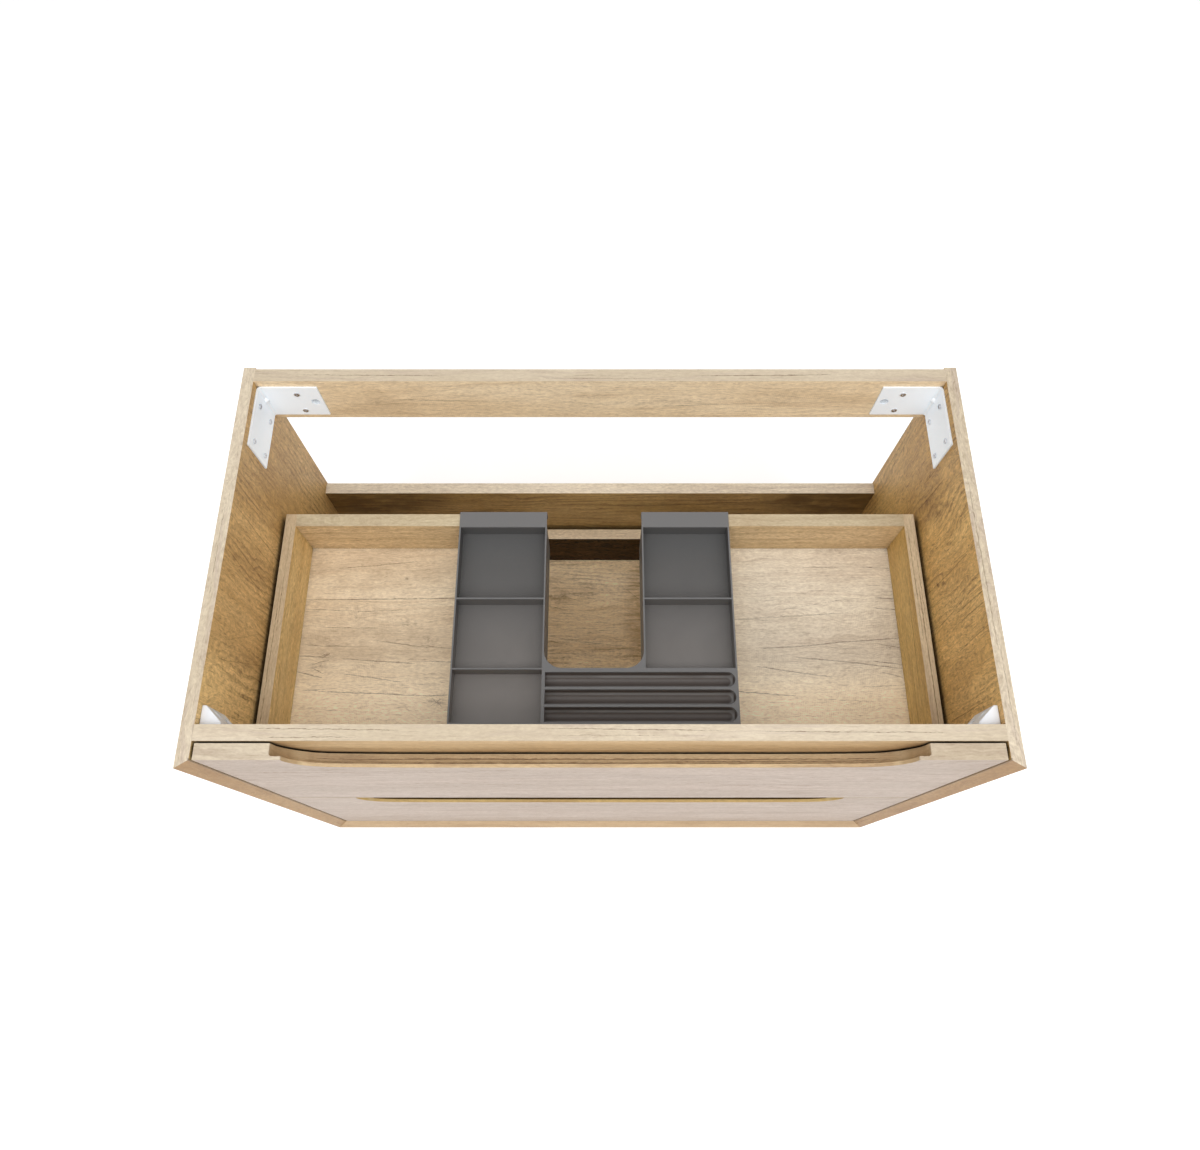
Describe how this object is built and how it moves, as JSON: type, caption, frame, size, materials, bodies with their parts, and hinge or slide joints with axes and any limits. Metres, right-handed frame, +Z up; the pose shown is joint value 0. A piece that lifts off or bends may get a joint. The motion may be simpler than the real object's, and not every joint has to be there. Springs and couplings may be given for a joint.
{
  "type": "single basin vanity",
  "caption": "Wall-hung vanity base for one basin: light oak decor carcass open at the top, drawers with routed grips, trap cut-out and organiser tray.",
  "frame": {"origin": "centre of the underside, halfway between the front edges and the wall plane", "axes": "+X to the right seen from the front, +Y towards the wall, +Z up"},
  "size_m": [0.8, 0.448, 0.54],
  "materials": {
    "oak_carcass": "light oak decor board, satin",
    "oak_front": "light oak decor front, grain across",
    "oak_drawer": "light oak decor board, satin",
    "beech": "turned beech",
    "white_steel": "white powder coat",
    "white_plastic": "moulded, satin",
    "clear_buffer": "soft, translucent",
    "tray_plastic": "moulded grey, fine texture",
    "grey_plastic": "moulded",
    "cage_plastic": "moulded",
    "zinc": "zinc plated",
    "galvanised": "galvanised sheet"
  },
  "bodies": {
    "carcass": {"side_panel_left": "oak_carcass", "side_panel_right": "oak_carcass", "bottom_panel": "oak_carcass", "front_top_rail": "oak_carcass", "back_top_rail": "oak_carcass", "lower_back_panel": "oak_carcass", "carcass_dowels": "beech", "rear_bracket_left": "white_steel", "rear_bracket_right": "white_steel", "rear_bracket_screws": "zinc", "corner_block_left": "white_plastic", "corner_block_right": "white_plastic", "corner_block_screws": "zinc", "front_buffers": "clear_buffer", "upper_runner_left": "galvanised", "upper_runner_right": "galvanised", "upper_runner_screws": "zinc", "lower_runner_left": "galvanised", "lower_runner_right": "galvanised", "lower_runner_screws": "zinc"},
    "upper_drawer": {"upper_front": "oak_front", "upper_side_left": "oak_drawer", "upper_side_right": "oak_drawer", "upper_back_left": "oak_drawer", "upper_back_right": "oak_drawer", "upper_floor": "oak_drawer", "upper_dowels": "beech", "upper_front_cams": "zinc", "upper_front_bolts": "zinc", "organiser_tray": "tray_plastic", "upper_box_rail_left": "galvanised", "upper_box_rail_right": "galvanised", "upper_catches": "grey_plastic"},
    "lower_drawer": {"lower_front": "oak_front", "lower_side_left": "oak_drawer", "lower_side_right": "oak_drawer", "lower_back": "oak_drawer", "lower_floor": "oak_drawer", "lower_dowels": "beech", "lower_front_cams": "zinc", "lower_front_bolts": "zinc", "lower_box_rail_left": "galvanised", "lower_box_rail_right": "galvanised", "lower_catches": "grey_plastic"},
    "upper_centre_left": {"upper_centre_left": "galvanised", "upper_cages_left": "cage_plastic"},
    "upper_centre_right": {"upper_centre_right": "galvanised", "upper_cages_right": "cage_plastic"},
    "lower_centre_left": {"lower_centre_left": "galvanised", "lower_cages_left": "cage_plastic"},
    "lower_centre_right": {"lower_centre_right": "galvanised", "lower_cages_right": "cage_plastic"}
  },
  "joints": [
    {"name": "upper_drawer_slide", "type": "slide", "parent": "carcass", "child": "upper_drawer", "axis": [0, -1, 0], "range_m": [0, 0.285]},
    {"name": "lower_drawer_slide", "type": "slide", "parent": "carcass", "child": "lower_drawer", "axis": [0, -1, 0], "range_m": [0, 0.38]},
    {"name": "upper_centre_left_slide", "type": "slide", "parent": "carcass", "child": "upper_centre_left", "axis": [0, -1, 0], "range_m": [0, 0.1425]},
    {"name": "upper_centre_right_slide", "type": "slide", "parent": "carcass", "child": "upper_centre_right", "axis": [0, -1, 0], "range_m": [0, 0.1425]},
    {"name": "lower_centre_left_slide", "type": "slide", "parent": "carcass", "child": "lower_centre_left", "axis": [0, -1, 0], "range_m": [0, 0.19]},
    {"name": "lower_centre_right_slide", "type": "slide", "parent": "carcass", "child": "lower_centre_right", "axis": [0, -1, 0], "range_m": [0, 0.19]}
  ],
  "couplings": [
    {"joint": "upper_centre_left_slide", "follows": "upper_drawer_slide", "ratio": 0.5},
    {"joint": "upper_centre_right_slide", "follows": "upper_drawer_slide", "ratio": 0.5},
    {"joint": "lower_centre_left_slide", "follows": "lower_drawer_slide", "ratio": 0.5},
    {"joint": "lower_centre_right_slide", "follows": "lower_drawer_slide", "ratio": 0.5}
  ]
}
